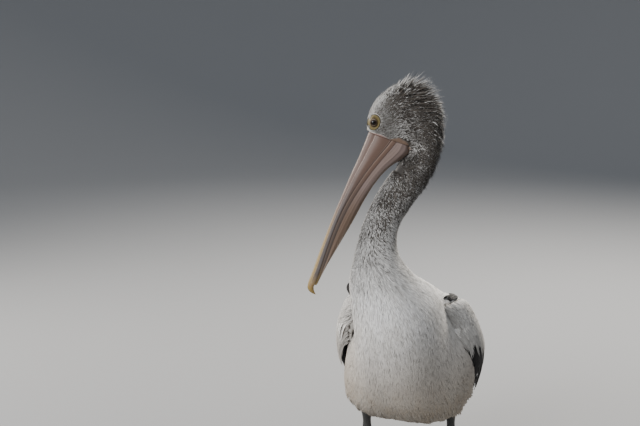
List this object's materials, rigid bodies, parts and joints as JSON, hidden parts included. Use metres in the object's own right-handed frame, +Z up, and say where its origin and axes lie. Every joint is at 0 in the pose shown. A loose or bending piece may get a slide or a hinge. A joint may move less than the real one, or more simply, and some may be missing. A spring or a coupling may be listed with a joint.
{
  "type": "standing pelican",
  "caption": "Life-size standing pelican with an S-bent neck, a long pouched bill held down, folded wings and webbed feet.",
  "frame": {"origin": "on the floor, under the middle of the whole bird's box", "axes": "+Z up; the body heads along -Y, with the bird's left side at +X"},
  "size_m": [0.4144, 0.7904, 1.1122],
  "materials": {
    "plumage_white": "soft white body feathers",
    "plumage_mottled": "short grey and white mottled feathers",
    "plumage_black": "glossy black flight feathers",
    "bill_horn": "smooth horn, pink with a slate band",
    "pouch_skin": "soft folded skin",
    "leg_skin": "scaly slate-grey skin",
    "claw_horn": "smooth dark horn",
    "eye": "wet and glossy"
  },
  "bodies": {
    "root": {"bill_lower": "bill_horn", "bill_upper": "bill_horn", "claw_hind_left": "claw_horn", "claw_hind_right": "claw_horn", "claw_inner_left": "claw_horn", "claw_inner_right": "claw_horn", "claw_middle_left": "claw_horn", "claw_middle_right": "claw_horn", "claw_outer_left": "claw_horn", "claw_outer_right": "claw_horn", "eye_left": "eye", "eye_right": "eye", "foot_left": "leg_skin", "foot_right": "leg_skin", "head": "plumage_mottled", "neck_lower": "plumage_white", "neck_upper": "plumage_mottled", "pouch": "pouch_skin", "shank_left": "leg_skin", "shank_right": "leg_skin", "tail": "plumage_black", "thigh_left": "plumage_white", "thigh_right": "plumage_white", "torso": "plumage_white", "wing_left": "plumage_white", "wing_right": "plumage_white"}
  },
  "joints": []
}
